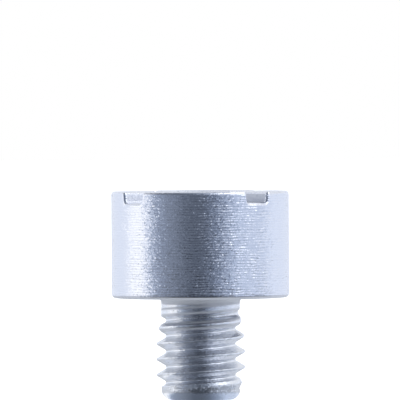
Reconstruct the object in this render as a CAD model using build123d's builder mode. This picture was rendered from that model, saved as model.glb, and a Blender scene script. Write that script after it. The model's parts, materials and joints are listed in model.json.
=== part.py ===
"""Slotted cylinder-head machine screw with a countersunk centre hole, metric M4 x 0.7.

One piece of steel: a tall cylindrical head with radial driver slots and a blind countersunk
hole in its face, a plain neck of blank diameter, a rolled right-hand thread and a short
rounded stub. Sizes are in millimetres. The origin lies on the axis in the plane of the
head's bearing face; +Z points out of the head, and the thread hangs below.
"""

from build123d import *
import math
import os

os.makedirs("parts", exist_ok=True)

# ---- Thread: ISO metric coarse, rolled, right-hand, single start ----
thread_d = 4.0               # major diameter, over the crests
pitch = 0.7
shank_l = 4.6                # bearing face to the flat of the tip
neck_l = 0.62                # plain blank between the bearing face and the thread's run-out
neck_flare = 0.24            # 45 degree flare under the head, wider than the crests stand out
stub_l = 0.6                 # plain blank left at the tip, below the last thread
tip_corner_r = 0.45          # rounding between the stub and the flat tip
crest_rise_l = 0.95          # length over which the first crest rises out of the neck
crest_lead_l = 0.32          # length over which the last crest falls to the stub
groove_run_angle = 45.0      # degrees from the axis, the groove's ends at neck and stub
crest_clock_z = -2.42        # a height at which the crest passes the +X side

# ---- Head ----
head_d = 8.0
head_h = 4.8
head_chamfer = 0.16          # broken lower corner

# ---- Driver slots, open at the head's side and into the centre hole ----
slot_count = 4
slot_w = 1.15
slot_depth = 0.5
slot_clock = 40.5            # degrees from +X to the first slot
slot_corner_r = 0.1          # milled corner along both sides of a slot's floor
land_edge_r = 0.12           # tumbled rounding all round the lands between the slots

# ---- Countersunk blind hole in the head's face ----
recess_d = 4.66              # straight-walled mouth
recess_drop = 0.16           # mouth's wall below the slots' floors, down to the countersink
sink_angle = 90.0            # included angle of the countersink
lead_w = 0.12                # burnished lead-in between the countersink and the bore
lead_angle = 50.0            # included angle of the lead-in
bore_d = 3.4
bore_l = 1.3                 # straight wall below the lead-in
drill_angle = 118.0          # included angle of the drill point at the bottom

# ---- Derived: basic ISO thread profile ----
sharp_v_h = pitch * math.sqrt(3) / 2
crest_r = thread_d / 2
sharp_crest_r = crest_r + sharp_v_h / 8
blank_r = crest_r - sharp_v_h * 3 / 8        # a rolled thread's blank has its pitch diameter
root_r = crest_r - sharp_v_h * 17 / 24
ridge_foot_r = root_r - sharp_v_h / 16       # the ridge's foot is sunk in the core
ridge_half_w = (sharp_crest_r - ridge_foot_r) / math.sqrt(3)


def cone_l(width: float, included_angle: float) -> float:
    """Length along the axis of a cone that narrows by this much in radius."""
    return width / math.tan(math.radians(included_angle / 2))


# ---- Derived: radii and stations along the axis ----
head_r, recess_r, bore_r = head_d / 2, recess_d / 2, bore_d / 2
lead_r = bore_r + lead_w
thread_top_z = -neck_l
thread_end_z = stub_l - shank_l
groove_run_l = cone_l(blank_r - root_r, 2 * groove_run_angle)
slot_floor_z = head_h - slot_depth
sink_top_z = slot_floor_z - recess_drop
lead_top_z = sink_top_z - cone_l(recess_r - lead_r, sink_angle)
bore_top_z = lead_top_z - cone_l(lead_w, lead_angle)
bore_end_z = bore_top_z - bore_l
drill_point_z = bore_end_z - cone_l(bore_r, drill_angle)

overcut = 1.0                # how far cutters run past the faces they open
tiny = 1e-3                  # tolerance for picking edges by place

# Profiles are revolved from the middle of a slot, so that no seam crosses a land.
slot_way = Vector(1, 0, 0).rotate(Axis.Z, slot_clock)
turning_plane = Plane((0, 0, 0), x_dir=slot_way, z_dir=slot_way.rotate(Axis.Z, -90))


def rounds_a_land(edge: Edge) -> bool:
    """True for the lands' outlines in the face and for the slots' two mouths."""
    ends = (edge @ 0, edge @ 1)
    radii = [math.hypot(end.X, end.Y) for end in ends]
    in_face = min(end.Z for end in ends) > head_h - tiny
    above_floor = min(end.Z for end in ends) > slot_floor_z - tiny
    at_a_mouth = min(radii) > head_r - tiny or max(radii) < recess_r + tiny
    return in_face or (above_floor and at_a_mouth)


# One turn of the thread's ridge: a sharp 60 degree V, carried round along a helix.
with BuildPart() as turn:
    with BuildLine() as turn_axis:
        Line((0, 0, 0), (0, 0, pitch))
    with BuildLine() as turn_helix:
        Helix(pitch, pitch, crest_r)
    with BuildSketch(Plane.XZ):
        with BuildLine():
            Polyline(
                (ridge_foot_r, ridge_half_w),
                (sharp_crest_r, 0),
                (ridge_foot_r, -ridge_half_w),
                close=True,
            )
        make_face()
    sweep(path=turn_axis.wire(), binormal=turn_helix.wire())

# The thread: turns stacked end to end, then cut back to the envelope of the crests.
first_turn = math.floor((thread_end_z - crest_clock_z) / pitch) - 1
end_turn = math.ceil((thread_top_z - crest_clock_z) / pitch) + 1
turn_heights = [crest_clock_z + pitch * index for index in range(first_turn, end_turn)]
with BuildPart() as thread:
    with Locations(*[(0, 0, height) for height in turn_heights]):
        add(turn.part)
    with BuildSketch(turning_plane):
        with BuildLine():
            Polyline(
                (0, thread_end_z),
                (blank_r, thread_end_z),
                (crest_r, thread_end_z + crest_lead_l),
                (crest_r, thread_top_z - crest_rise_l),
                (blank_r, thread_top_z),
                (0, thread_top_z),
                close=True,
            )
        make_face()
    revolve(axis=Axis.Z, mode=Mode.INTERSECT)

# One driver slot: a milled channel from the axis out through the head's side.
with BuildPart() as slot:
    with BuildSketch(Plane.YZ):
        with BuildLine():
            floor = FilletPolyline(
                (-slot_w / 2, head_h + overcut),
                (-slot_w / 2, slot_floor_z),
                (slot_w / 2, slot_floor_z),
                (slot_w / 2, head_h + overcut),
                radius=slot_corner_r,
            )
            Line(floor @ 1, floor @ 0)
        make_face()
    extrude(amount=head_r + overcut)

with BuildPart() as screw:
    # Turned blank: tip, stub, root between the groove's run-outs, neck, flare and head.
    with BuildSketch(turning_plane):
        with BuildLine():
            Polyline(
                (0, -shank_l),
                (blank_r, -shank_l),
                (blank_r, thread_end_z),
                (root_r, thread_end_z + groove_run_l),
                (root_r, thread_top_z - groove_run_l),
                (blank_r, thread_top_z),
                (blank_r, -neck_flare),
                (blank_r + neck_flare, 0),
                (head_r - head_chamfer, 0),
                (head_r, head_chamfer),
                (head_r, head_h),
                (0, head_h),
                close=True,
            )
        make_face()
    revolve(axis=Axis.Z)
    fillet(screw.edges().sort_by(Axis.Z)[0], tip_corner_r)
    add(thread.part)

    # Countersunk hole: straight mouth, countersink, lead-in, bore and drill point.
    with BuildSketch(turning_plane):
        with BuildLine():
            Polyline(
                (0, head_h + overcut),
                (recess_r, head_h + overcut),
                (recess_r, sink_top_z),
                (lead_r, lead_top_z),
                (bore_r, bore_top_z),
                (bore_r, bore_end_z),
                (0, drill_point_z),
                close=True,
            )
        make_face()
    revolve(axis=Axis.Z, mode=Mode.SUBTRACT)

    # Driver slots, then the tumbled edges that they and the hole leave on the lands.
    with PolarLocations(0, slot_count, start_angle=slot_clock):
        add(slot.part, mode=Mode.SUBTRACT)
    fillet(screw.edges().filter_by(rounds_a_land), land_edge_r)

screw.part.label = "screw"
export_step(screw.part, "parts/screw.step")
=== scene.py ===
"""A slotted cylinder-head machine screw with a countersunk centre hole, dressed for viewing.

The screw is one piece of zinc-plated steel. Its skin is one closed sheet of rows and
columns: the rows follow the screw's profile from the bottom of the centre hole, over the
head's face and side, down the shank to the tip, and the columns go round the axis. Sizes are
in millimetres here and turned to metres when the mesh is made.
"""

import json
import logging
import math
from dataclasses import dataclass
from enum import Enum

import bpy
import numpy as np
from mathutils import Matrix, Vector

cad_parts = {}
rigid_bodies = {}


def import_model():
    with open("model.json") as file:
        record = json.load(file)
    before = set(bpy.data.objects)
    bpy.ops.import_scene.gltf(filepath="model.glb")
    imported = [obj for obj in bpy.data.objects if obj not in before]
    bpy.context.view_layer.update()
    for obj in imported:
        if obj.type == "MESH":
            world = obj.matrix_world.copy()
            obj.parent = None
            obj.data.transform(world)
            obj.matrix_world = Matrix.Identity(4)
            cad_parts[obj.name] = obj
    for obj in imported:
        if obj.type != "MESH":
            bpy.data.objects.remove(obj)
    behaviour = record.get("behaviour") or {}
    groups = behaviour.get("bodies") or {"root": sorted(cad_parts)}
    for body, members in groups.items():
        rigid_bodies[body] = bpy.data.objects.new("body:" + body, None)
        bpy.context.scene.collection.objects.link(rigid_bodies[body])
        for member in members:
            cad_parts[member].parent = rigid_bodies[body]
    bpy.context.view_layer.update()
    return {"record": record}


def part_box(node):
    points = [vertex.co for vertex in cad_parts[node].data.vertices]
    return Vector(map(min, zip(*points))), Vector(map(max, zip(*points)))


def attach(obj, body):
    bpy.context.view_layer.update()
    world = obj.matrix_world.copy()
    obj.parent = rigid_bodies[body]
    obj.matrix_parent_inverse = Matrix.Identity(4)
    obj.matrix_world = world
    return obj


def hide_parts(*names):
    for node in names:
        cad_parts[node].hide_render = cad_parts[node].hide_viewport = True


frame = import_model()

log = logging.getLogger("screw")

MM = 0.001
FULL_TURN = 2 * math.pi
RIGHT_ANGLE = math.pi / 2

# Short straight run that a strip keeps past its last arc, in millimetres.
SEAM = 0.01

# What can feed a node's input: an output socket, or a node by its first output.
Feed = bpy.types.NodeSocket | bpy.types.Node

# The Mix node's sockets for colours, by number because its names repeat.
MIX_FIRST, MIX_SECOND, MIX_RESULT = 6, 7, 2


# ---------------------------------------------------------------- surfaces


@dataclass
class Strip:
    """Rows of skin points, each row going once round the axis.

    Attributes:
        points: rows x columns x 3, in millimetres.
        normals: rows x columns x 3, unit vectors out of the steel.
        zones: finish zone of each column, for the faces between this strip's rows.
        wear: rows x columns, from 0 where the plating is bright to 1 where it is rubbed.
    """

    points: np.ndarray
    normals: np.ndarray
    zones: np.ndarray
    wear: np.ndarray


class Zone(Enum):
    """The parts of the skin that were worked in different ways."""

    HEAD_WALL = 0
    LAND = 1
    PLAIN_SLOT = 2
    MILLED_SLOT = 3
    COUNTERSINK = 4
    BORE = 5
    THREAD = 6
    UNDERSIDE = 7
    LOWER_EDGE = 8


def unit(vectors: np.ndarray) -> np.ndarray:
    """Returns the vectors scaled to length one along their last axis."""
    return vectors / np.linalg.norm(vectors, axis=-1, keepdims=True)


def ease(value: np.ndarray, span: tuple[float, float]) -> np.ndarray:
    """Rises smoothly from 0 at the span's first end to 1 at its second.

    Formula: the share of the span passed, held between 0 and 1, squared, times three less
    twice that share.

    Args:
        value: where to look.
        span: the two ends, in either order.

    Returns:
        The shares.
    """
    share = np.clip((value - span[0]) / (span[1] - span[0]), 0, 1)
    return share**2 * (3 - 2 * share)


def placed(
    radius: float | np.ndarray, angle: np.ndarray, height: float | np.ndarray
) -> np.ndarray:
    """Turns places round the axis into points.

    Formula: radius times cosine, radius times sine, and height.

    Args:
        radius: distances from the axis.
        angle: angles round it.
        height: heights along it.

    Returns:
        The points, with their three parts along the last axis.
    """
    sideways = radius * np.cos(angle), radius * np.sin(angle)
    return np.stack(np.broadcast_arrays(*sideways, height), axis=-1)


def joined(rows: list[np.ndarray]) -> np.ndarray:
    """Returns the strips' rows as one array, with a row that two strips share kept once."""
    return np.concatenate([rows[0], *[later[1:] for later in rows[1:]]])


def rounded_profile(
    corners: list[tuple[float, float]],
    radii: list[float],
    runs: list[int],
    arc_steps: int = 6,
) -> np.ndarray:
    """Points and normals along straight runs whose inner corners are arcs.

    Formula: a corner that turns by an angle loses its radius times the tangent of half that
    angle from both runs, and the arc between them swings the first run's normal evenly to
    the second's. Normals are the path's direction turned a quarter left.

    Args:
        corners: the runs' ends as radius and height, in order.
        radii: rounding of each inner corner.
        runs: how many steps each run is cut into.
        arc_steps: how many steps each arc is cut into.

    Returns:
        Steps x 4: radius, height, and the normal's two parts.
    """
    ends = np.array(corners, float)
    ways = unit(np.diff(ends, axis=0))
    lefts = np.stack([-ways[:, 1], ways[:, 0]], axis=1)
    turns = np.arctan2(
        ways[:-1, 0] * ways[1:, 1] - ways[:-1, 1] * ways[1:, 0],
        np.sum(ways[:-1] * ways[1:], axis=1),
    )
    cuts = np.concatenate([[0], np.array(radii) * np.tan(np.abs(turns) / 2), [0]])
    points, normals = [], []
    for index, (way, left) in enumerate(zip(ways, lefts)):
        start = ends[index] + way * cuts[index]
        stop = ends[index + 1] - way * cuts[index + 1]
        along = np.linspace(0, 1, runs[index] + 1)[:, None]
        points.append(start + (stop - start) * along)
        normals.append(np.repeat(left[None], len(along), axis=0))
        if index < len(turns):
            swing = np.linspace(0, turns[index], arc_steps + 1)[1:-1]
            across = left[0] * np.cos(swing) - left[1] * np.sin(swing)
            upward = left[0] * np.sin(swing) + left[1] * np.cos(swing)
            turned = np.stack([across, upward], axis=1)
            side = np.sign(turns[index])
            centre = stop + left * side * radii[index]
            points.append(centre - turned * side * radii[index])
            normals.append(turned)
    return np.concatenate([np.concatenate(points), np.concatenate(normals)], axis=1)


def revolved(
    profile: np.ndarray, angles: np.ndarray, zone: Zone, wear: float | np.ndarray = 0.0
) -> Strip:
    """Carries a profile and its normals round the axis.

    Args:
        profile: steps x 4, as rounded_profile gives it.
        angles: one angle per column.
        zone: finish of the whole strip.
        wear: one value, or one per step.

    Returns:
        The strip.
    """
    radius, height, outward, upward = profile.T[:, :, None]
    points, normals = placed(radius, angles, height), placed(outward, angles, upward)
    rubbed = np.broadcast_to(np.reshape(wear, (-1, 1)), points.shape[:2])
    return Strip(points, normals, np.full(len(angles), zone.value), rubbed)


@dataclass(frozen=True)
class SlotRing:
    """The columns of the head's face, which follow the four slots and the lands between.

    One quarter goes from the middle of a slot's floor, round its milled corner, up its wall,
    over the land's tumbled edge, across the land and down the same way into the next slot.

    Attributes:
        top: height of the lands.
        floor: height of the slots' floors.
        clock: angle of the first slot.
        count: how many slots there are.
        width: a slot's width, halfway up.
        draft: how far a slot's wall leans outwards.
        corner_r: rounding beside a slot's floor.
        edge_r: rounding where a wall meets its land.
        floor_steps: columns over half a slot's floor.
        wall_steps: columns up a wall.
        edge_steps: columns round each of the two arcs.
        land_steps: columns over a land.
    """

    top: float
    floor: float
    clock: float
    count: int = 4
    width: float = 1.15
    draft: float = math.radians(8)
    corner_r: float = 0.1
    edge_r: float = 0.17
    floor_steps: int = 4
    wall_steps: int = 2
    edge_steps: int = 7
    land_steps: int = 44

    def half_slot(self) -> np.ndarray:
        """Half a slot's section, from the middle of its floor to the start of a land.

        Formula: a flat floor, a wall that leans outwards by the draft and a land, joined by
        two arcs. The wall has the slot's width halfway up.

        Returns:
            Steps x 4: distance from the slot's middle, height, and the normal's two parts.
        """
        half, rise = self.width / 2, self.top - self.floor
        spread = rise / 2 * math.tan(self.draft)
        foot, lip = (half - spread, self.floor), (half + spread, self.top)
        return rounded_profile(
            [(0, self.floor), foot, lip, (self.width, self.top)],
            radii=[self.corner_r, self.edge_r],
            runs=[self.floor_steps, self.wall_steps, 1],
            arc_steps=self.edge_steps,
        )[:-1]

    def columns(self) -> dict[str, np.ndarray]:
        """All the columns' sections.

        Returns:
            Arrays over the columns: off (distance from the nearest slot's middle), height,
            nt and nz (the normal along and up), share (0 beside the slot behind, 1 beside
            the slot ahead, between them on a land) and base (the slot behind's angle).
        """
        half = self.half_slot()
        land = np.linspace(0, 1, self.land_steps + 1)[1:-1]
        shore = np.repeat(half[-1:], len(land), axis=0)
        quarter = np.concatenate([half, shore, half[:0:-1]])
        share = np.concatenate([np.zeros(len(half)), land, np.ones(len(half) - 1)])
        bases = self.clock + FULL_TURN / self.count * np.arange(self.count)
        off, height, nt, nz = np.tile(quarter, (self.count, 1)).T
        return {
            "off": off,
            "height": height,
            "nt": nt,
            "nz": nz,
            "share": np.tile(share, self.count),
            "base": np.repeat(bases, len(quarter)),
        }

    def angles(self, radius: float | np.ndarray, inset: float | np.ndarray) -> np.ndarray:
        """Each column's angle at a radius, with the section sunk into the steel by an inset.

        Formula: a point beside a slot lies off its middle line by its distance, more by the
        inset along its normal, and that distance over the radius is the sine of its angle
        from the slot. On a land the angle runs evenly from one slot's edge to the next's.

        Args:
            radius: one value, or rows x 1.
            inset: one value, or rows x 1.

        Returns:
            One angle per column, or rows x columns.
        """
        ring = self.columns()
        swing = np.arcsin((ring["off"] - ring["nt"] * inset) / radius)
        pitch = FULL_TURN / self.count
        share = ring["share"]
        return ring["base"] + (1 - share) * swing + share * (pitch - swing)

    def strip(
        self, radii: np.ndarray, leans: np.ndarray, edge_r: float, rim: int, wear: float
    ) -> Strip:
        """Rows of the face, flat in the middle or rolling over a rim.

        Formula: where a row leans over the rim by an angle, the section sinks into the steel
        by the rim's radius times one less the cosine of that angle, and its normal swings
        from the section's own towards the rim's side.

        Args:
            radii: each row's radius.
            leans: each row's lean over the rim, from 0 on the face to a right angle.
            edge_r: rounding of the rim.
            rim: 1 where the rim faces outwards, -1 where it faces the axis.
            wear: how far the rim is rubbed.

        Returns:
            The strip.
        """
        ring = self.columns()
        radii, leans = radii[:, None], leans[:, None]
        inset = edge_r * (1 - np.cos(leans))
        angles = self.angles(radii, inset)
        points = placed(radii, angles, ring["height"] - ring["nz"] * inset)
        ahead = ring["share"] > 0.5
        slot = ring["base"] + ahead * FULL_TURN / self.count
        along = ring["nt"] * np.where(ahead, -1, 1) * np.cos(leans)
        outward = np.sin(leans) * rim
        normals = np.stack(
            [
                outward * np.cos(angles) - along * np.sin(slot),
                outward * np.sin(angles) + along * np.cos(slot),
                ring["nz"] * np.cos(leans),
            ],
            axis=-1,
        )
        rubbed = np.broadcast_to(wear * np.sin(leans), angles.shape)
        return Strip(points, unit(normals), self.zones(), rubbed)

    def skirt(
        self, radius: float, rim_r: float, angles: np.ndarray, height: float, rows: int
    ) -> tuple[np.ndarray, np.ndarray]:
        """A straight wall between the wavy foot of a rim and a level ring.

        Formula: each column runs straight, in angle and height, from the foot to the ring.

        Args:
            radius: the wall's radius.
            rim_r: rounding of the rim.
            angles: the ring's columns.
            height: the ring's height.
            rows: how many rows there are, the foot's and the ring's included.

        Returns:
            Angles and heights, both rows x columns, from the foot to the ring.
        """
        ring = self.columns()
        foot = ring["height"] - ring["nz"] * rim_r
        share = np.linspace(0, 1, rows)[:, None]
        path = self.angles(radius, rim_r) * (1 - share) + angles * share
        return path, foot * (1 - share) + height * share

    def zones(self) -> np.ndarray:
        """Finish of each column's faces: lands, and slots in two crossing pairs.

        Returns:
            One zone per column.
        """
        half = len(self.half_slot())
        columns = np.arange(len(self.columns()["off"]))
        quarter = len(columns) // self.count
        place = columns % quarter
        which = columns // quarter + (place >= quarter - half)
        slots = np.where(which % 2 == 0, Zone.PLAIN_SLOT.value, Zone.MILLED_SLOT.value)
        step = half - self.edge_steps
        on_land = (place >= step) & (place < quarter - step)
        return np.where(on_land, Zone.LAND.value, slots)


@dataclass
class CentreHole:
    """The blind countersunk hole in the head's face, from its drill point to its mouth.

    Attributes:
        ring: the face's columns.
        mouth_r: radius of the straight mouth.
        bore_r: radius of the bore.
        bore_bottom: height at which the bore's wall gives way to the drill point.
        bore_top: height at which the lead-in starts.
        rim_r: rounding of the mouth's rim.
        lead_r: radius at which the lead-in meets the countersink.
        lead_top: height at which it does.
        sink_top: height at which the countersink meets the mouth.
        drill_angle: included angle of the drill point.
        drill_round_r: rounding between the drill point and the bore.
        centre_r: radius of the innermost row, which closes on a point.
        lead_start: how far below the lead-in the bore's last rows stop.
        sink_arcs: roundings at the lead-in's two ends and at the mouth.
        mouth_rows: rows of the mouth's wall.
        fan: how far the columns of a slot's wall are fanned apart.
    """

    ring: SlotRing
    mouth_r: float
    bore_r: float
    bore_bottom: float
    bore_top: float
    rim_r: float = 0.15
    lead_r: float = 1.82
    lead_top: float = 3.63
    sink_top: float = 4.14
    drill_angle: float = math.radians(118)
    drill_round_r: float = 0.1
    centre_r: float = 0.02
    lead_start: float = 0.12
    sink_arcs: tuple[float, float, float] = (0.06, 0.06, 0.02)
    mouth_rows: int = 5
    fan: float = math.radians(1.2)

    def angles(self) -> np.ndarray:
        """The hole's columns: as at the mouth, with the slot walls' columns fanned apart.

        Formula: the columns of a slot's wall stand in one line, so below the slots each is
        moved away from the slot by its rise up the wall times a small angle. On a land that
        move dies out towards the land's middle.

        Returns:
            One angle per column.
        """
        ring = self.ring.columns()
        mouth = self.ring.angles(self.mouth_r, self.rim_r)
        rise = (ring["height"] - self.ring.floor) / (self.ring.top - self.ring.floor)
        way = np.where(ring["share"] > 0.5, -1, 1)
        from_middle = np.abs(2 * ring["share"] - 1)
        return mouth + way * rise * self.fan * from_middle

    def strips(self) -> list[Strip]:
        """Builds the drill point, the bore, the countersink and the mouth.

        Returns:
            The strips, from the bottom up.
        """
        angles = self.angles()
        point = self.bore_bottom - self.bore_r / math.tan(self.drill_angle / 2)
        bore_end, bore_start = (self.bore_r, self.bore_bottom), (self.bore_r, self.bore_top)
        bore = rounded_profile(
            [(self.centre_r, point), bore_end, bore_start],
            radii=[self.drill_round_r],
            runs=[8, 6],
        )
        sink = rounded_profile(
            [
                (self.bore_r, self.bore_top - self.lead_start),
                bore_start,
                (self.lead_r, self.lead_top),
                (self.mouth_r, self.sink_top),
                (self.mouth_r, self.sink_top + 2 * SEAM),
            ],
            radii=list(self.sink_arcs),
            runs=[2, 2, 6, 1],
            arc_steps=4,
        )
        # The bore's rows stop short of the countersink's first.
        bore = bore[bore[:, 1] < sink[0, 1] - SEAM]
        upper = revolved(sink, angles, Zone.COUNTERSINK)
        mouth = self.mouth(angles, upper.points[-1, :, 2])
        return [revolved(bore, angles, Zone.BORE), upper, mouth]

    def mouth(self, angles: np.ndarray, height: np.ndarray) -> Strip:
        """The straight wall up to the slots' and lands' rims, more rubbed towards them.

        Args:
            angles: the countersink's columns.
            height: the height that the countersink ends at.

        Returns:
            The strip, from the countersink up.
        """
        down = self.ring.skirt(self.mouth_r, self.rim_r, angles, height, self.mouth_rows)
        path, rise = down[0][::-1], down[1][::-1]
        rubbed = np.broadcast_to(np.linspace(0, 1, self.mouth_rows)[:, None], path.shape)
        zones = np.full(len(angles), Zone.COUNTERSINK.value)
        return Strip(placed(self.mouth_r, path, rise), placed(-1, path, 0), zones, rubbed)


@dataclass
class SlottedFace:
    """The head's face: four lands parted by driver slots, rounded at both rims.

    Attributes:
        ring: the face's columns.
        inner_r: radius of the hole's mouth.
        outer_r: radius of the head.
        rim_r: rounding of both rims.
        rim_steps: steps round each rim.
        land_rows: rows between the rims.
    """

    ring: SlotRing
    inner_r: float
    outer_r: float
    rim_r: float = 0.15
    rim_steps: int = 6
    land_rows: int = 10

    def strips(self) -> list[Strip]:
        """Builds the inner rim, the face and the outer rim.

        Returns:
            The strips, from the axis outwards.
        """
        lean = np.linspace(0, RIGHT_ANGLE, self.rim_steps + 1)
        inner = self.inner_r + self.rim_r * (1 - np.sin(lean[::-1]))
        flat = np.linspace(self.inner_r + self.rim_r, self.outer_r - self.rim_r, self.land_rows)
        outer = self.outer_r - self.rim_r * (1 - np.sin(lean))
        outer_rim = self.ring.strip(outer, lean, self.rim_r, 1, 0.0)
        # The slots' outer lips are rubbed as bright as the head's wall.
        on_land = outer_rim.zones == Zone.LAND.value
        outer_rim.zones = np.where(on_land, Zone.LAND.value, Zone.HEAD_WALL.value)
        return [
            self.ring.strip(inner, lean[::-1], self.rim_r, -1, 1.0),
            self.ring.strip(flat, flat * 0, self.rim_r, 1, 0.0),
            outer_rim,
        ]


@dataclass
class HeadWall:
    """The head's tall turned side and its flat underside.

    Attributes:
        ring: the face's columns.
        head_r: radius of the head.
        neck_r: radius of the neck.
        rim_r: rounding of the face's rim.
        even_below: height under which the columns are evenly spaced.
        corner_r: rounding of the lower edge.
        neck_fillet_r: fillet between the underside and the neck.
        wall_rows: rows between the rim and the first even ring.
        underside_w: how far inwards the lower edge's own strip reaches.
        edge_rows: rows of the lower edge.
        underside_rows: rows of the underside.
        edge_rub: how far the normal dips, from where the edge's rubbing starts to all of it.
        fillet_rub: heights between which the fillet's rubbing starts.
    """

    ring: SlotRing
    head_r: float
    neck_r: float
    rim_r: float = 0.15
    even_below: float = 3.5
    corner_r: float = 0.2
    neck_fillet_r: float = 0.24
    wall_rows: int = 10
    underside_w: float = 0.4
    edge_rows: int = 8
    underside_rows: int = 5
    edge_rub: tuple[float, float] = (-0.2, -0.6)
    fillet_rub: tuple[float, float] = (0, -0.05)

    def even_angles(self) -> np.ndarray:
        """Returns one angle per column, evenly spaced from the first slot's middle."""
        count = len(self.ring.columns()["off"])
        return self.ring.clock + FULL_TURN * np.arange(count) / count

    def strips(self) -> list[Strip]:
        """Builds the wall, its lower edge, the underside and the fillet.

        Returns:
            The strips, from the rim down and inwards.
        """
        even = self.even_angles()
        path, height = self.ring.skirt(
            self.head_r, self.rim_r, even, self.even_below, self.wall_rows
        )
        points, normals = placed(self.head_r, path, height), placed(1, path, 0)
        upper = Strip(points, normals, np.full(len(even), Zone.HEAD_WALL.value), path * 0)
        turn = (self.head_r - self.underside_w, 0)
        wall = rounded_profile(
            [(self.head_r, self.even_below), (self.head_r, 0), turn],
            radii=[self.corner_r],
            runs=[6, 1],
            arc_steps=10,
        )
        under = rounded_profile(
            [turn, (self.neck_r, 0), (self.neck_r, -self.neck_fillet_r - SEAM)],
            radii=[self.neck_fillet_r],
            runs=[4, 1],
            arc_steps=8,
        )
        split = len(wall) - self.edge_rows
        edge, fillet = wall[split - 1 :], under[self.underside_rows - 1 :]
        return [
            upper,
            revolved(wall[:split], even, Zone.HEAD_WALL),
            revolved(edge, even, Zone.LOWER_EDGE, ease(edge[:, 3], self.edge_rub)),
            revolved(under[: self.underside_rows], even, Zone.UNDERSIDE),
            revolved(fillet, even, Zone.THREAD, ease(fillet[:, 1], self.fillet_rub)),
        ]


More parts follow.
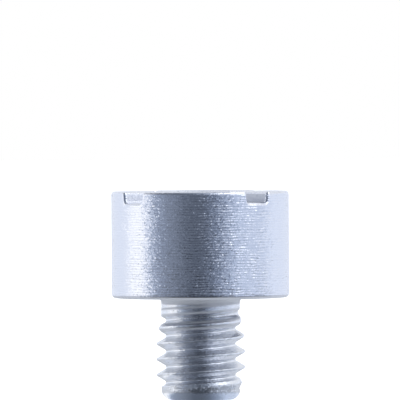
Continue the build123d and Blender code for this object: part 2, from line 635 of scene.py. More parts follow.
@dataclass
class ThreadedShank:
    """The neck, the rolled right-hand thread, the stub and the rounded tip.

    A pair of heights goes from where something is gone to where it is whole.

    Attributes:
        angles: the columns.
        tip: height of the flat tip.
        crest_r: radius over the crests.
        pitch: from one crest to the next.
        neck_fillet_r: fillet between the underside and the neck.
        crest_clock: a height at which the crest passes the +X side.
        ridge_top: heights of the ridge's rise out of the neck.
        ridge_end: heights of its fall to the stub.
        groove_top: heights of the groove's run-out at the neck.
        groove_end: heights of its run-out at the stub.
        tip_corner_r: rounding between the stub and the tip.
        crest_flat: half the flat between a crest's two arcs.
        lip_rise: heights between which rolling's low lips start.
        lip_fall: heights between which they end.
        lip_aside: from a crest's middle to either lip.
        lip_height: how far a lip stands up.
        lip_width: a lip's width.
        crest_rub: how far the crests are rubbed.
        crest_rub_width: width of the rubbed line.
        neck_rub: heights between which the neck's rubbing starts.
        centre_r: radius of the innermost row, which closes on a point.
        rows_per_pitch: rows over one pitch.
    """

    angles: np.ndarray
    tip: float
    crest_r: float = 2.0
    pitch: float = 0.7
    neck_fillet_r: float = 0.24
    crest_clock: float = -2.42
    ridge_top: tuple[float, float] = (-0.45, -2.2)
    ridge_end: tuple[float, float] = (-4.08, -3.4)
    groove_top: tuple[float, float] = (-0.42, -1.0)
    groove_end: tuple[float, float] = (-4.36, -3.72)
    tip_corner_r: float = 0.45
    crest_flat: float = 0.03
    lip_rise: tuple[float, float] = (-0.2, -0.5)
    lip_fall: tuple[float, float] = (-1.9, -0.9)
    lip_aside: float = 0.135
    lip_height: float = 0.006
    lip_width: float = 0.045
    crest_rub: float = 0.08
    crest_rub_width: float = 0.04
    neck_rub: tuple[float, float] = (-0.32, -0.22)
    centre_r: float = 0.02
    rows_per_pitch: int = 30

    @property
    def sharp_height(self) -> float:
        """Height of the sharp V that the ISO profile is cut from."""
        return self.pitch * math.sqrt(3) / 2

    @property
    def blank_r(self) -> float:
        """Radius of the rod before rolling, which is the pitch radius."""
        return self.crest_r - self.sharp_height * 3 / 8

    @property
    def root_r(self) -> float:
        """Radius of the groove's bottom."""
        return self.crest_r - self.sharp_height * 17 / 24

    def section(self, off: np.ndarray) -> np.ndarray:
        """Radius of the whole thread at a distance along the axis from a crest's middle.

        Formula: a 60 degree flank runs between two arcs that it touches. The root's arc has
        a sixth of the sharp V's height as its radius. The crest's two arcs, parted by a
        narrow flat, have an eighth of it less what the flat takes up.

        Args:
            off: distances, up to half a pitch.

        Returns:
            The radii.
        """
        root_arc = self.sharp_height / 6
        crest_arc = self.sharp_height / 8 - self.crest_flat * math.sqrt(3)
        past_flat = np.clip(off - self.crest_flat, 0, None)
        off_root = self.pitch / 2 - off
        touch = math.sqrt(3) / 2
        flank = self.crest_r + self.sharp_height / 8 - off * math.sqrt(3)
        fall = crest_arc - np.sqrt(np.clip(crest_arc**2 - past_flat**2, 0, None))
        crest = self.crest_r - fall
        root = self.root_r + root_arc - np.sqrt(np.clip(root_arc**2 - off_root**2, 0, None))
        inner = np.where(off_root < root_arc * touch, root, flank)
        return np.where(past_flat < crest_arc * touch, crest, inner)

    def phase(self, angle: np.ndarray, height: np.ndarray) -> np.ndarray:
        """Returns how many pitches a place lies above the crest's helix."""
        return (height - self.crest_clock) / self.pitch - angle / FULL_TURN

    def from_crest(self, angle: np.ndarray, height: np.ndarray) -> np.ndarray:
        """Returns the distance along the axis from the nearest crest's middle."""
        phase = self.phase(angle, height)
        return (phase - np.round(phase)) * self.pitch

    def radius(self, angle: np.ndarray, height: np.ndarray) -> np.ndarray:
        """Radius of the shank at an angle and height.

        Formula: a right-hand helix climbs one pitch a turn, and the section stands out from
        the blank as a ridge and dips below it as a groove. Both fade along the helix: the
        ridge by the height of its crest at that angle, and the groove by that of its root.
        Where the ridge is not yet full, rolling leaves a low lip along each of its sides.

        Args:
            angle: angles round the axis.
            height: heights along it.

        Returns:
            The radii.
        """
        phase, from_crest = self.phase(angle, height), self.from_crest(angle, height)
        from_root = (phase - np.floor(phase) - 0.5) * self.pitch
        stand = self.section(np.abs(from_crest)) - self.blank_r
        crest, root = height - from_crest, height - from_root
        ridge = ease(crest, self.ridge_top) * ease(crest, self.ridge_end)
        groove = ease(root, self.groove_top) * ease(root, self.groove_end)
        lips = self.lip_height * self.lips(angle, height)
        rise, dip = np.clip(stand, 0, None) * ridge, np.clip(stand, None, 0) * groove
        return self.blank_r + rise + dip + lips

    def lips(self, angle: np.ndarray, height: np.ndarray) -> np.ndarray:
        """How far the lips of the unfinished ridge stand up, from 0 to 1.

        Formula: a bell over the distance from either lip's line, faded along the helix.

        Args:
            angle: angles round the axis.
            height: heights along it.

        Returns:
            The shares.
        """
        from_crest = self.from_crest(angle, height)
        crest = height - from_crest
        bell = np.exp(-(((np.abs(from_crest) - self.lip_aside) / self.lip_width) ** 2))
        return bell * ease(crest, self.lip_rise) * ease(crest, self.lip_fall)

    def crests(self, angle: np.ndarray, height: np.ndarray) -> np.ndarray:
        """How far the crests are rubbed.

        Formula: a bell over the distance from a crest's middle, faded with the ridge.

        Args:
            angle: angles round the axis.
            height: heights along it.

        Returns:
            The shares.
        """
        from_crest = self.from_crest(angle, height)
        bell = np.exp(-((from_crest / self.crest_rub_width) ** 2))
        return self.crest_rub * bell * ease(height - from_crest, self.ridge_top)

    def thread(self) -> Strip:
        """The thread's rows, from the neck's fillet down to the tip's corner.

        Formula: the radius's slopes round and along the axis come from its values a small
        step to either side, and the normal is square to both.

        Returns:
            The strip.
        """
        top, end = -self.neck_fillet_r - 2 * SEAM, self.tip + self.tip_corner_r + 2 * SEAM
        count = round((top - end) / self.pitch * self.rows_per_pitch)
        height = np.linspace(top, end, count)[:, None]
        angle = self.angles[None]
        radius = self.radius(angle, height)
        step = 1e-3
        across = self.radius(angle + step, height) - self.radius(angle - step, height)
        around = across / (2 * step * radius)
        upward = self.radius(angle, height + step) - self.radius(angle, height - step)
        along = upward / (2 * step)
        cosines, sines = np.cos(angle), np.sin(angle)
        normals = np.stack([cosines + around * sines, sines - around * cosines, -along], axis=-1)
        wear = self.lips(angle, height) + self.crests(angle, height)
        wear = np.clip(wear + ease(height, self.neck_rub), 0, 1)
        zones = np.full(len(self.angles), Zone.THREAD.value)
        return Strip(placed(radius, angle, height), unit(normals), zones, wear)

    def strips(self) -> list[Strip]:
        """Builds the thread and the tip.

        Returns:
            The strips, from the neck down.
        """
        start = (self.blank_r, self.tip + self.tip_corner_r + SEAM)
        end = rounded_profile(
            [start, (self.blank_r, self.tip), (self.centre_r, self.tip)],
            radii=[self.tip_corner_r],
            runs=[1, 5],
            arc_steps=10,
        )
        return [self.thread(), revolved(end, self.angles, Zone.THREAD)]


# ---------------------------------------------------------------- finishes


def linear(colour: str) -> tuple[float, float, float, float]:
    """Turns an sRGB hex colour into linear light.

    Formula: small values are divided by 12.92, the rest are raised to the power 2.4 after
    adding 0.055 and dividing by 1.055.

    Args:
        colour: a hash and six hex digits.

    Returns:
        Red, green, blue and full cover.
    """
    values = [int(colour[index : index + 2], 16) / 255 for index in (1, 3, 5)]
    light = [v / 12.92 if v <= 0.04045 else ((v + 0.055) / 1.055) ** 2.4 for v in values]
    return (*light, 1.0)


def emptied(owner: bpy.types.Material | bpy.types.World) -> bpy.types.NodeTree:
    """Turns on a material's or world's nodes, and takes out those it starts with.

    Args:
        owner: the material or world.

    Returns:
        Its empty node tree.
    """
    owner.use_nodes = True
    owner.node_tree.nodes.clear()
    return owner.node_tree


def shown(name: str, data: bpy.types.ID) -> bpy.types.Object:
    """Adds an object to the scene.

    Args:
        name: the object's name.
        data: its mesh, light or camera.

    Returns:
        The object.
    """
    made = bpy.data.objects.new(name, data)
    bpy.context.scene.collection.objects.link(made)
    return made


def node(
    tree: bpy.types.NodeTree,
    kind: str,
    inputs: dict[str | int, object] | None = None,
    **settings: object,
) -> bpy.types.Node:
    """Adds a node with its settings, its input values and its links.

    Args:
        tree: the node tree.
        kind: the node's type, less the "ShaderNode" that every type starts with.
        inputs: input name or number to a value, to the output socket that feeds it, or to
            the node whose first output does.
        **settings: the node's own properties.

    Returns:
        The node.
    """
    made = tree.nodes.new("ShaderNode" + kind)
    for name, value in settings.items():
        setattr(made, name, value)
    for name, value in (inputs or {}).items():
        feed = value.outputs[0] if isinstance(value, bpy.types.Node) else value
        if isinstance(feed, bpy.types.NodeSocket):
            tree.links.new(feed, made.inputs[name])
        else:
            made.inputs[name].default_value = feed
    return made


class Lay(Enum):
    """Which way the tool's marks run over a surface."""

    ROUND_THE_WALL = "lines round the axis, told apart by height"
    ROUND_THE_FACE = "lines round the axis, told apart by radius"
    ALONG_FIRST_SLOTS = "lines along the first slot and its opposite"
    ALONG_NEXT_SLOTS = "lines along the other pair of slots"


@dataclass(frozen=True)
class ZincFinish:
    """Bright zinc plating over worked steel.

    The plating is a satin, slightly bluish metal. It softens but keeps what is beneath: the
    tool's fine parallel lines, which tip the surface across their lay, and the sandy pitting
    of tumbling, where each pit tips its own way and a few flash. Sizes are in millimetres,
    and a tilt is a tangent. Real pits and lines are finer, and are drawn as coarse as shows.

    Attributes:
        name: the material's name.
        lay: which way the tool's marks run.
        colour: the plating's full tone.
        shade: its tone in the bottoms of lines and pits.
        roughness: roughness where it isn't rubbed.
        worn: roughness where it is rubbed most.
        matt: how far a rubbed place gives up mirroring and scatters light instead.
        pit: a pit's width.
        pit_tilt: how far a pit tips the surface.
        pit_tone: how much the pits change the tone.
        pit_power: power of a pit's length, which keeps most pits shallow.
        line: a line's width, from one to the next.
        line_tilt: how far a line tips the surface.
        line_tone: how much the lines change the tone.
        line_length: about how far a line runs before it wavers.
        line_wobble: how many lines' widths the wavering spans.
        lay_radius: radius at which lines on a face waver as they do on a wall.
        patch: width of the patches where the lines come and go.
        patch_min: share of a line's height that is left in the plainest patch.
        patch_span: the noise from the plainest patch to the fully lined one.
        tone_span: the changes of tone that give all shade and all colour.
        clock: angle of the first slot, for lays that follow the slots.
    """

    name: str
    lay: Lay
    colour: str = "#E9EBF2"
    shade: str = "#CDD2DE"
    roughness: float = 0.2
    worn: float = 0.55
    matt: float = 0.3
    pit: float = 0.05
    pit_tilt: float = 0.08
    pit_tone: float = 0.12
    pit_power: float = 1.5
    line: float = 0.115
    line_tilt: float = 0.15
    line_tone: float = 0.15
    line_length: float = 0.5
    line_wobble: float = 1.7
    lay_radius: float = 3.0
    patch: float = 0.6
    patch_min: float = 0.2
    patch_span: tuple[float, float] = (0.35, 0.6)
    tone_span: tuple[float, float] = (-1.2, 0.6)
    clock: float = 0.0

    def across(self, tree: bpy.types.NodeTree, spot: Feed) -> bpy.types.Node:
        """Makes the direction across the tool's marks.

        Args:
            tree: the material's node tree.
            spot: the object coordinate.

        Returns:
            A node whose first output is the unit direction.
        """
        fixed = {
            Lay.ROUND_THE_WALL: (0, 0, 1),
            Lay.ALONG_FIRST_SLOTS: (-math.sin(self.clock), math.cos(self.clock), 0),
            Lay.ALONG_NEXT_SLOTS: (math.cos(self.clock), math.sin(self.clock), 0),
        }
        if self.lay in fixed:
            return node(tree, "VectorMath", {0: fixed[self.lay]}, operation="NORMALIZE")
        outward = node(tree, "VectorMath", {0: spot, 1: (1, 1, 0)}, operation="MULTIPLY")
        return node(tree, "VectorMath", {0: outward}, operation="NORMALIZE")

    def lines(self, tree: bpy.types.NodeTree, place: Feed, across: Feed) -> bpy.types.Node:
        """Makes the tool's lines.

        Formula: a sine of the distance across the marks, one turn a line, with its phase
        shaken by noise so that the lines waver and break, times noise that leaves some
        patches plain. The shaking noise is squeezed across the marks, so that each line
        wavers by itself. Where the lay runs round the axis on a face, the radius is squeezed
        in place of the height.

        Args:
            tree: the material's node tree.
            place: the object coordinate in millimetres.
            across: the unit direction across the marks.

        Returns:
            A node that gives -1 to 1, nearer 0 in the plain patches.
        """
        dot = node(tree, "VectorMath", {0: place, 1: across}, operation="DOT_PRODUCT")
        off = dot.outputs["Value"]
        squeeze = self.line_length / self.line
        if self.lay is Lay.ROUND_THE_FACE:
            scaled = {0: across, "Scale": self.lay_radius}
            start, way = node(tree, "VectorMath", scaled, operation="SCALE"), (0, 0, 1)
        else:
            # The place holds the distance across the marks once already.
            start, way, squeeze = place, across, squeeze - 1
        more = node(tree, "Math", {0: off, 1: squeeze}, operation="MULTIPLY")
        aside = node(tree, "VectorMath", {0: way, "Scale": more}, operation="SCALE")
        squeezed = node(tree, "VectorMath", {0: start, 1: aside}, operation="ADD")
        # The noise changes over twice a line's length.
        shake = {
            "Vector": squeezed,
            "Scale": 1 / (2 * self.line_length),
            "Detail": 2.0,
            "Roughness": 0.6,
        }
        noise = node(tree, "TexNoise", shake).outputs["Fac"]
        turns = node(tree, "Math", {0: off, 1: FULL_TURN / self.line}, operation="MULTIPLY")
        shaken = {0: noise, 1: FULL_TURN * self.line_wobble, 2: turns}
        phase = node(tree, "Math", shaken, operation="MULTIPLY_ADD")
        wave = node(tree, "Math", {0: phase}, operation="SINE")
        cloud = {"Vector": place, "Scale": 1 / self.patch, "Detail": 3.0, "Roughness": 0.6}
        patches = node(tree, "TexNoise", cloud).outputs["Fac"]
        plain, lined = self.patch_span
        fade = {"Value": patches, "From Min": plain, "From Max": lined, "To Min": self.patch_min}
        kept = node(tree, "MapRange", fade)
        return node(tree, "Math", {0: wave, 1: kept}, operation="MULTIPLY")

    def pits(self, tree: bpy.types.NodeTree, place: Feed) -> bpy.types.Node:
        """Makes the pits: cells of a random vector each, most of them short.

        Formula: a random vector between -1 and 1 each way, times a power of its length.

        Args:
            tree: the material's node tree.
            place: the object coordinate in millimetres.

        Returns:
            A node that gives the vector.
        """
        cells = node(tree, "TexVoronoi", {"Vector": place, "Scale": 1 / self.pit})
        centred = {0: cells.outputs["Color"], 1: (2, 2, 2), 2: (-1, -1, -1)}
        tip = node(tree, "VectorMath", centred, operation="MULTIPLY_ADD")
        length = node(tree, "VectorMath", {0: tip}, operation="LENGTH").outputs["Value"]
        shrunk = node(tree, "Math", {0: length, 1: self.pit_power}, operation="POWER")
        return node(tree, "VectorMath", {0: tip, "Scale": shrunk}, operation="SCALE")

    def normal(
        self, tree: bpy.types.NodeTree, across: Feed, lines: Feed, pits: Feed
    ) -> bpy.types.Node:
        """Makes the tipped normal.

        Formula: the surface's own normal, plus the lines' height times their tilt across the
        lay, plus the pits' vector times theirs, made a unit again.

        Args:
            tree: the material's node tree.
            across: the unit direction across the marks.
            lines: the lines.
            pits: the pits' vector.

        Returns:
            A node that gives the normal.
        """
        lean = node(tree, "Math", {0: lines, 1: self.line_tilt}, operation="MULTIPLY")
        by_lines = node(tree, "VectorMath", {0: across, "Scale": lean}, operation="SCALE")
        added = {0: pits, 1: (self.pit_tilt,) * 3, 2: by_lines}
        tilt = node(tree, "VectorMath", added, operation="MULTIPLY_ADD")
        smooth = node(tree, "NewGeometry").outputs["Normal"]
        tipped = node(tree, "VectorMath", {0: smooth, 1: tilt}, operation="ADD")
        return node(tree, "VectorMath", {0: tipped}, operation="NORMALIZE")

    def tone(self, tree: bpy.types.NodeTree, lines: Feed, pits: Feed) -> bpy.types.Node:
        """Makes the colour.

        Formula: the lines and one part of the pits' vector, each times its share, go from
        shade to full colour over the tone's span.

        Args:
            tree: the material's node tree.
            lines: the lines.
            pits: the pits' vector.

        Returns:
            A node that gives the colour.
        """
        part = node(tree, "SeparateXYZ", {0: pits}).outputs["X"]
        faint = node(tree, "Math", {0: lines, 1: self.line_tone}, operation="MULTIPLY")
        summed = {0: part, 1: self.pit_tone, 2: faint}
        change = node(tree, "Math", summed, operation="MULTIPLY_ADD")
        dark, full = self.tone_span
        share = node(tree, "MapRange", {"Value": change, "From Min": dark, "From Max": full})
        colour = node(tree, "ValToRGB", {0: share})
        colour.color_ramp.elements[0].color = linear(self.shade)
        colour.color_ramp.elements[1].color = linear(self.colour)
        return colour

    def material(self) -> bpy.types.Material:
        """Builds the finish: a metal, rougher and less of a mirror where it is rubbed.

        Returns:
            The material.
        """
        made = bpy.data.materials.new(self.name)
        tree = emptied(made)
        spot = node(tree, "TexCoord").outputs["Object"]
        across = self.across(tree, spot)
        place = node(tree, "VectorMath", {0: spot, "Scale": 1 / MM}, operation="SCALE")
        lines, pits = self.lines(tree, place, across), self.pits(tree, place)
        wear = node(tree, "Attribute", attribute_name="wear").outputs["Fac"]
        rough = {"Value": wear, "To Min": self.roughness, "To Max": self.worn}
        mirror = {"Value": wear, "To Min": 1.0, "To Max": 1 - self.matt}
        plating = {
            "Metallic": node(tree, "MapRange", mirror),
            "Base Color": self.tone(tree, lines, pits),
            "Roughness": node(tree, "MapRange", rough),
            "Normal": self.normal(tree, across, lines, pits),
        }
        metal = node(tree, "BsdfPrincipled", plating)
        node(tree, "OutputMaterial", {"Surface": metal})
        return made


def finishes(clock: float) -> dict[Zone, ZincFinish]:
    """Gives each zone its finish, in the order of the material slots.

    Args:
        clock: angle of the first slot.

    Returns:
        Zone to finish.
    """
    # Rubbed plating is paler and duller: a soft white line along crests and edges.
    rubbed: dict[str, str | float] = {
        "colour": "#ECEEF2",
        "shade": "#DCDFE6",
        "roughness": 0.24,
        "line_tilt": 0.03,
    }
    return {
        # Turned: close broken rings, which draw each reflection out up and down the wall.
        Zone.HEAD_WALL: ZincFinish("zinc_turned_wall", Lay.ROUND_THE_WALL),
        # Tumbled: a sandy, speckled tone with hardly a line.
        Zone.LAND: ZincFinish(
            "zinc_tumbled_land",
            Lay.ROUND_THE_FACE,
            pit_tilt=0.04,
            pit_tone=0.5,
            line_tilt=0.03,
        ),
        # Milled and tumbled smooth: a plain pale floor.
        Zone.PLAIN_SLOT: ZincFinish(
            "zinc_tumbled_slot",
            Lay.ALONG_FIRST_SLOTS,
            roughness=0.4,
            line_tilt=0.03,
            clock=clock,
        ),
        # Left as milled: a darker floor with long streaks along the slot.
        Zone.MILLED_SLOT: ZincFinish(
            "zinc_milled_slot",
            Lay.ALONG_NEXT_SLOTS,
            colour="#CDD1DA",
            shade="#A4AAB8",
            roughness=0.45,
            line=0.2,
            line_tone=0.6,
            line_length=3.0,
            line_wobble=3.0,
            clock=clock,
        ),
        # Reamed: long even rings on a bright, smooth cone.
        Zone.COUNTERSINK: ZincFinish(
            "zinc_reamed_countersink",
            Lay.ROUND_THE_FACE,
            roughness=0.24,
            pit_tilt=0.025,
            line=0.12,
            line_tilt=0.06,
            line_tone=0.4,
            line_length=2.5,
            line_wobble=3.0,
        ),
        # Drilled, deep in the hole: dark and bluish.
        Zone.BORE: ZincFinish(
            "zinc_drilled_bore",
            Lay.ROUND_THE_FACE,
            colour="#8E98AC",
            shade="#6E788C",
            pit_tilt=0.03,
            line=0.2,
            line_tilt=0.06,
            line_tone=0.4,
            line_length=2.0,
            line_wobble=3.0,
        ),
        # Rolled: no rings, only a fine grain that sparkles on the flanks.
        Zone.THREAD: ZincFinish(
            "zinc_rolled_thread", Lay.ROUND_THE_WALL, matt=0.6, pit_tilt=0.10, **rubbed
        ),
        # Faced, under the head: a plain mid grey, which is painted shade.
        Zone.UNDERSIDE: ZincFinish(
            "zinc_underside_painted_shade", Lay.ROUND_THE_FACE, colour="#A9AEBA", shade="#8F95A2"
        ),
        # The first edge to be knocked: a pale line that hardly mirrors.
        Zone.LOWER_EDGE: ZincFinish("zinc_worn_edge", Lay.ROUND_THE_WALL, matt=0.8, **rubbed),
    }


# ---------------------------------------------------------------- the screw


@dataclass
class Screw:
    """The whole screw, sized from the CAD box and the record's mounts.

    Attributes:
        low: the CAD box's lowest corner, in metres.
        high: its highest corner.
        mounts: the record's mounts by name.
        slot_clock: angle of the first slot.
        mouth_r: radius of the hole's mouth, in millimetres like the rest.
        bore_top: height at which the bore's straight wall ends.
        neck_r: radius of the neck.
        point_depth: how far the drill point's middle lies below its innermost row.
    """

    low: Vector
    high: Vector
    mounts: dict[str, dict]
    slot_clock: float = math.radians(40.5)
    mouth_r: float = 2.33
    bore_top: float = 3.3727
    neck_r: float = 1.773
    point_depth: float = 0.012

    def strips(self) -> list[Strip]:
        """Builds the skin's strips in order, from the hole's bottom to the tip.

        Returns:
            The strips.
        """
        head_r = max(self.high.x, self.high.y) / MM
        hole = self.mounts["centre_hole"]["dims"]
        ring = SlotRing(
            top=self.high.z / MM,
            floor=self.mounts["driver_slots"]["pos_m"][2] / MM,
            clock=self.slot_clock,
        )
        centre_hole = CentreHole(
            ring=ring,
            mouth_r=self.mouth_r,
            bore_r=hole["r_mm"],
            bore_bottom=self.bore_top - hole["length_mm"],
            bore_top=self.bore_top,
        )
        face = SlottedFace(ring=ring, inner_r=self.mouth_r, outer_r=head_r)
        wall = HeadWall(ring=ring, head_r=head_r, neck_r=self.neck_r)
        shank = ThreadedShank(angles=wall.even_angles(), tip=self.low.z / MM)
        return [*centre_hole.strips(), *face.strips(), *wall.strips(), *shank.strips()]

    def build(self) -> bpy.types.Object:
        """Joins the strips into one closed skin and dresses it.

        Formula: each strip starts on the last row of the one before, so that row is kept
        once. Four neighbours make a face, and the first and last rows close on a point.

        Returns:
            The screw's object.
        """
        strips = self.strips()
        points = joined([strip.points for strip in strips])
        normals = joined([strip.normals for strip in strips])
        wear = joined([strip.wear for strip in strips])
        zones = np.concatenate(
            [np.repeat(strip.zones[None], len(strip.points) - 1, axis=0) for strip in strips]
        )
        count, columns = points.shape[:2]
        index = np.arange(count * columns).reshape(count, columns)
        ahead = np.roll(index, -1, axis=1)
        faces = np.stack([index[:-1], index[1:], ahead[1:], ahead[:-1]], axis=-1).reshape(-1, 4)
        bottom, tip = count * columns, count * columns + 1
        first = np.stack([np.full(columns, bottom), index[0], ahead[0]], axis=-1)
        last = np.stack([np.full(columns, tip), ahead[-1], index[-1]], axis=-1)
        heights = points[0, :, 2].mean() - self.point_depth, points[-1, :, 2].mean()
        poles = [[0, 0, height] for height in heights]
        everything = np.concatenate([points.reshape(-1, 3), poles]) * MM
        mesh = bpy.data.meshes.new("screw_skin")
        outlines = faces.tolist() + first.tolist() + last.tolist()
        mesh.from_pydata(everything.tolist(), [], outlines)
        ends = np.repeat([Zone.BORE.value, Zone.THREAD.value], columns)
        slots = np.concatenate([zones.ravel(), ends])
        mesh.polygons.foreach_set("material_index", slots.astype(np.int32))
        mesh.polygons.foreach_set("use_smooth", np.ones(len(slots), bool))
        for finish in finishes(self.slot_clock).values():
            mesh.materials.append(finish.material())
        all_normals = np.concatenate([normals.reshape(-1, 3), [[0, 0, 1], [0, 0, -1]]])
        mesh.normals_split_custom_set_from_vertices(all_normals.tolist())
        rubbed = mesh.attributes.new("wear", "FLOAT", "POINT")
        rubbed.data.foreach_set("value", np.append(wear.ravel(), [0, 0]).astype(np.float32))
        mesh.update()
        body = shown("screw_body", mesh)
        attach(body, "root")
        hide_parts("screw")
        log.info("screw_body: %d faces", len(mesh.polygons))
        return body


# ---------------------------------------------------------------- the studio


# Light from round the screw: degrees from the camera's side towards +X, level, where 1 is
# white, and share of blue. The wall is the tent's sides near the horizon.
WALL_STOPS = (
    (-180, 0.98, 0.08),
    (-120, 0.98, 0.11),
    (-108, 1.02, 0.08),
    (-100, 1.16, 0.03),
    (-80, 1.22, 0.00),
    (-70, 0.87, 0.17),
    (-62, 0.49, 0.27),
    (-54, 0.37, 0.28),
    (-38, 0.285, 0.26),
    (-26, 0.222, 0.27),
    (-12, 0.138, 0.32),
    (2, 0.135, 0.31),
    (12, 0.175, 0.33),
    (20, 0.25, 0.35),
    (32, 0.40, 0.31),
    (48, 0.71, 0.25),
    (60, 0.735, 0.22),
    (85, 0.78, 0.21),
    (104, 0.98, 0.14),
    (180, 0.95, 0.09),
)
# The roof, whose light the rounded edges and the face pick up: dimmer on the left.
ROOF_STOPS = (
    (-180, 0.90, 0.04),
    (-115, 0.90, 0.06),
    (-100, 0.45, 0.08),
    (-82, 0.16, 0.16),
    (-60, 0.16, 0.20),
    (-25, 0.14, 0.26),
    (-8, 0.22, 0.26),
    (4, 0.32, 0.24),
    (18, 0.62, 0.20),
    (32, 0.92, 0.14),
    (60, 1.04, 0.10),
    (90, 1.00, 0.06),
    (115, 0.95, 0.04),
    (180, 0.90, 0.04),
)
# Painted shade on the floor close to the screw, as metal sees it: darker where the screw and the
# tent's mouth would shade it.
PAINTED_SHADE_STOPS = (
    (-180, 0.60, 0.08),
    (-110, 0.70, 0.08),
    (-80, 0.70, 0.08),
    (-62, 0.36, 0.12),
    (-14, 0.055, 0.24),
    (12, 0.055, 0.24),
    (40, 0.32, 0.16),
    (90, 0.45, 0.14),
    (100, 0.75, 0.10),
    (180, 0.60, 0.08),
)


@dataclass
class Studio:
    """A white light tent, its floor, soft lamps and the camera, in metres.

    The eye sees white all round. The metal sees the tent: white at the sides and behind,
    and dim and bluish at its open mouth, where the camera stands. That gives the round head
    a dark middle between bright flanks.

    Attributes:
        floor_z: height of the floor.
        view_z: height on the axis that the camera looks at.
        frame_width: width of the view at the screw.
        distance: from the camera to the screw.
        elevation: the camera's angle above the floor.
        roll: the camera's turn about its line of sight.
        floor_half: half the floor's width.
        glow: the light of its own that takes the lit floor up to white.
        lamp_distance: from a lamp to the origin.
        roof_tilt: how much lower the roof starts for each step towards +X.
        roof_span: heights of a direction between which the wall turns to roof.
        zenith_span: heights of a direction between which the roof turns to zenith.
        zenith: light from straight above, where the tent's top is open.
        painted_ring_span: distances from the origin between which the floor's painted tone, as
            metal sees it, goes from open to painted shade, which leaves a painted light ring round
            the tip.
        painted_shade_span: distances from the origin between which the floor's painted shade
            clears.
    """

    floor_z: float
    view_z: float
    frame_width: float = 0.018
    distance: float = 0.30
    elevation: float = math.radians(0.75)
    roll: float = math.radians(-0.3)
    floor_half: float = 1.5
    glow: float = 0.75
    lamp_distance: float = 0.55
    roof_tilt: float = 0.18
    roof_span: tuple[float, float] = (0.19, 0.47)
    zenith_span: tuple[float, float] = (0.85, 0.98)
    zenith: tuple[float, float, float, float] = (0.42, 0.46, 0.53, 1)
    painted_ring_span: tuple[float, float] = (0.00502, 0.00555)
    painted_shade_span: tuple[float, float] = (0.014, 0.036)

    def tent_light(
        self,
        tree: bpy.types.NodeTree,
        way: Feed,
        stops: tuple[tuple[float, float, float], ...],
    ) -> bpy.types.Node:
        """Makes the light that the tent sends from each side.

        Formula: the angle from the camera's side towards +X, as a share of a full turn,
        picks a level between the stops. A share of blue adds that much blue and takes half
        as much red.

        Args:
            tree: the node tree.
            way: the direction or place whose side counts.
            stops: the sides, their levels and their shares of blue.

        Returns:
            A node that gives the light.
        """
        part = node(tree, "SeparateXYZ", {0: way}).outputs
        front = node(tree, "Math", {0: part["Y"], 1: -1.0}, operation="MULTIPLY")
        angle = node(tree, "Math", {0: part["X"], 1: front}, operation="ARCTAN2")
        turned = {0: angle, 1: 1 / FULL_TURN, 2: 0.5}
        share = node(tree, "Math", turned, operation="MULTIPLY_ADD")
        light = node(tree, "ValToRGB", {0: share})
        ramp = light.color_ramp
        ramp.interpolation = "LINEAR"
        while len(ramp.elements) < len(stops):
            ramp.elements.new(0.5)
        for element, (degrees, level, blue) in zip(ramp.elements, stops):
            element.position = degrees / 360 + 0.5
            element.color = (level * (1 - 0.5 * blue), level, level * (1 + blue), 1)
        return light

    def between(
        self,
        tree: bpy.types.NodeTree,
        value: Feed,
        span: tuple[float, float],
        first: Feed,
        second: Feed | tuple[float, float, float, float],
    ) -> bpy.types.NodeSocket:
        """Changes smoothly from one colour to another as a value crosses a span.

        Args:
            tree: the node tree.
            value: what decides.
            span: where the change starts and ends.
            first: the colour before the span.
            second: the colour after it.

        Returns:
            The colour.
        """
        crossed = {"Value": value, "From Min": span[0], "From Max": span[1]}
        share = node(tree, "MapRange", crossed, interpolation_type="SMOOTHSTEP")
        blend = {0: share, MIX_FIRST: first, MIX_SECOND: second}
        return node(tree, "Mix", blend, data_type="RGBA").outputs[MIX_RESULT]

    def seen(self, tree: bpy.types.NodeTree, rays: bpy.types.Node) -> bpy.types.Node:
        """Makes 1 for rays from the camera and through glass, and 0 for the rest."""
        clear = {0: rays.outputs["Is Camera Ray"], 1: rays.outputs["Is Transmission Ray"]}
        return node(tree, "Math", clear, operation="MAXIMUM")

    def paper(self) -> bpy.types.Material:
        """Builds the floor's paper: white to the eye but for shadow, to metal painted light and
        shade.

        Returns:
            The material.
        """
        made = bpy.data.materials.new("white_paper")
        tree = emptied(made)
        rays = node(tree, "LightPath")
        lift = {0: self.seen(tree, rays), 1: self.glow}
        glow = node(tree, "Emission", {"Strength": node(tree, "Math", lift, operation="MULTIPLY")})
        matt = node(tree, "BsdfDiffuse", {"Color": linear("#F4F4F4")})
        lit = node(tree, "AddShader", {0: matt, 1: glow})
        place = node(tree, "TexCoord").outputs["Object"]
        length = node(tree, "VectorMath", {0: place}, operation="LENGTH").outputs["Value"]
        floor_painted_shade = self.tent_light(tree, place, PAINTED_SHADE_STOPS)
        open_side = self.tent_light(tree, place, WALL_STOPS)
        light = self.between(tree, length, self.painted_ring_span, open_side, floor_painted_shade)
        light = self.between(tree, length, self.painted_shade_span, light, open_side)
        # To metal the floor glows with painted light: the tent's tone, with painted shade close to
        # the screw and a painted light ring round the tip.
        painted_floor_glow = node(tree, "Emission", {"Color": light})
        either = {0: rays.outputs["Is Glossy Ray"], 1: lit, 2: painted_floor_glow}
        node(tree, "OutputMaterial", {"Surface": node(tree, "MixShader", either)})
        return made

    def floor(self) -> None:
        """Adds the plain pale floor, which keeps the screw's shadow."""
        half, z = self.floor_half, self.floor_z
        corners = [(-half, -half, z), (half, -half, z), (half, half, z), (-half, half, z)]
        mesh = bpy.data.meshes.new("floor")
        mesh.from_pydata(corners, [], [(0, 1, 2, 3)])
        mesh.materials.append(self.paper())
        sheet = shown("floor", mesh)

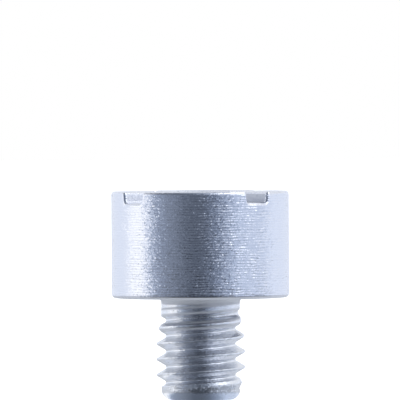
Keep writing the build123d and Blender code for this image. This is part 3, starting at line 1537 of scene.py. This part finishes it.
    def tent(self) -> None:
        """Sets the world: white to the eye, and to the metal a tent.

        Formula: a direction's height, raised a little towards +X, takes the wall's light to
        the roof's, and its height alone takes that to the zenith's.
        """
        world = bpy.data.worlds.new("light_tent")
        bpy.context.scene.world = world
        tree = emptied(world)
        way = node(tree, "TexCoord").outputs["Generated"]
        part = node(tree, "SeparateXYZ", {0: way}).outputs
        tilted = {0: part["X"], 1: self.roof_tilt, 2: part["Z"]}
        slope = node(tree, "Math", tilted, operation="MULTIPLY_ADD")
        wall = self.tent_light(tree, way, WALL_STOPS)
        roof = self.tent_light(tree, way, ROOF_STOPS)
        light = self.between(tree, slope, self.roof_span, wall, roof)
        light = self.between(tree, part["Z"], self.zenith_span, light, self.zenith)
        tent = node(tree, "Background", {"Color": light})
        white = node(tree, "Background", {"Color": (1, 1, 1, 1)})
        either = {0: self.seen(tree, node(tree, "LightPath")), 1: tent, 2: white}
        node(tree, "OutputWorld", {"Surface": node(tree, "MixShader", either)})

    def lamp(
        self,
        name: str,
        azimuth: float,
        elevation: float,
        width: float,
        height: float,
        level: float,
    ) -> None:
        """Adds an oblong soft lamp that faces the screw.

        Formula: an oblong lamp of even brightness gives off pi times its area times its
        brightness.

        Args:
            name: the lamp's name.
            azimuth: degrees from the camera's side towards +X.
            elevation: degrees above the horizon.
            width: the lamp's width.
            height: the lamp's height.
            level: brightness, where 1 is white.
        """
        light = bpy.data.lights.new(name, "AREA")
        light.shape = "RECTANGLE"
        light.size, light.size_y = width, height
        light.energy = math.pi * width * height * level
        turn, rise = math.radians(azimuth), math.radians(elevation)
        way = Vector(
            (math.sin(turn) * math.cos(rise), -math.cos(turn) * math.cos(rise), math.sin(rise))
        )
        made = shown(name, light)
        made.location = way * self.lamp_distance
        made.rotation_euler = way.to_track_quat("Z", "Y").to_euler()
        made.visible_camera = False

    def camera(self) -> None:
        """Adds the camera, low in front, with the screw in the frame's lower half.

        Formula: the frame's width at the screw over the distance is the sensor's width over
        the lens.
        """
        data = bpy.data.cameras.new("camera")
        data.sensor_width = 36
        data.lens = data.sensor_width * self.distance / self.frame_width
        data.clip_start, data.clip_end = 0.01, 10
        back = Vector((0, -math.cos(self.elevation), math.sin(self.elevation)))
        place = Matrix.Translation(Vector((0, 0, self.view_z)) + back * self.distance)
        aim = back.to_track_quat("Z", "Y").to_matrix().to_4x4()
        made = shown("camera", data)
        made.matrix_world = place @ aim @ Matrix.Rotation(self.roll, 4, "Z")
        bpy.context.scene.camera = made

    def build(self) -> None:
        """Sets up the floor, the world, the lamps and the camera."""
        self.floor()
        self.tent()
        self.lamp("key_left", azimuth=-92, elevation=10, width=0.30, height=0.9, level=0.15)
        self.lamp("side_right", azimuth=62, elevation=26, width=0.35, height=0.24, level=0.6)
        self.lamp("right_high", azimuth=75, elevation=58, width=0.40, height=0.20, level=1.5)
        self.camera()
        bpy.context.scene.view_settings.view_transform = "Standard"


def main() -> None:
    """Builds the screw and its studio."""
    logging.basicConfig(level=logging.INFO, format="%(name)s: %(message)s")
    mounts = {mount["name"]: mount for mount in frame["record"]["mounts"]}
    low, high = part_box("screw")
    Screw(low=low, high=high, mounts=mounts).build()
    Studio(floor_z=low.z, view_z=0.00439).build()
    bpy.context.view_layer.update()


if __name__ == "__main__":
    main()
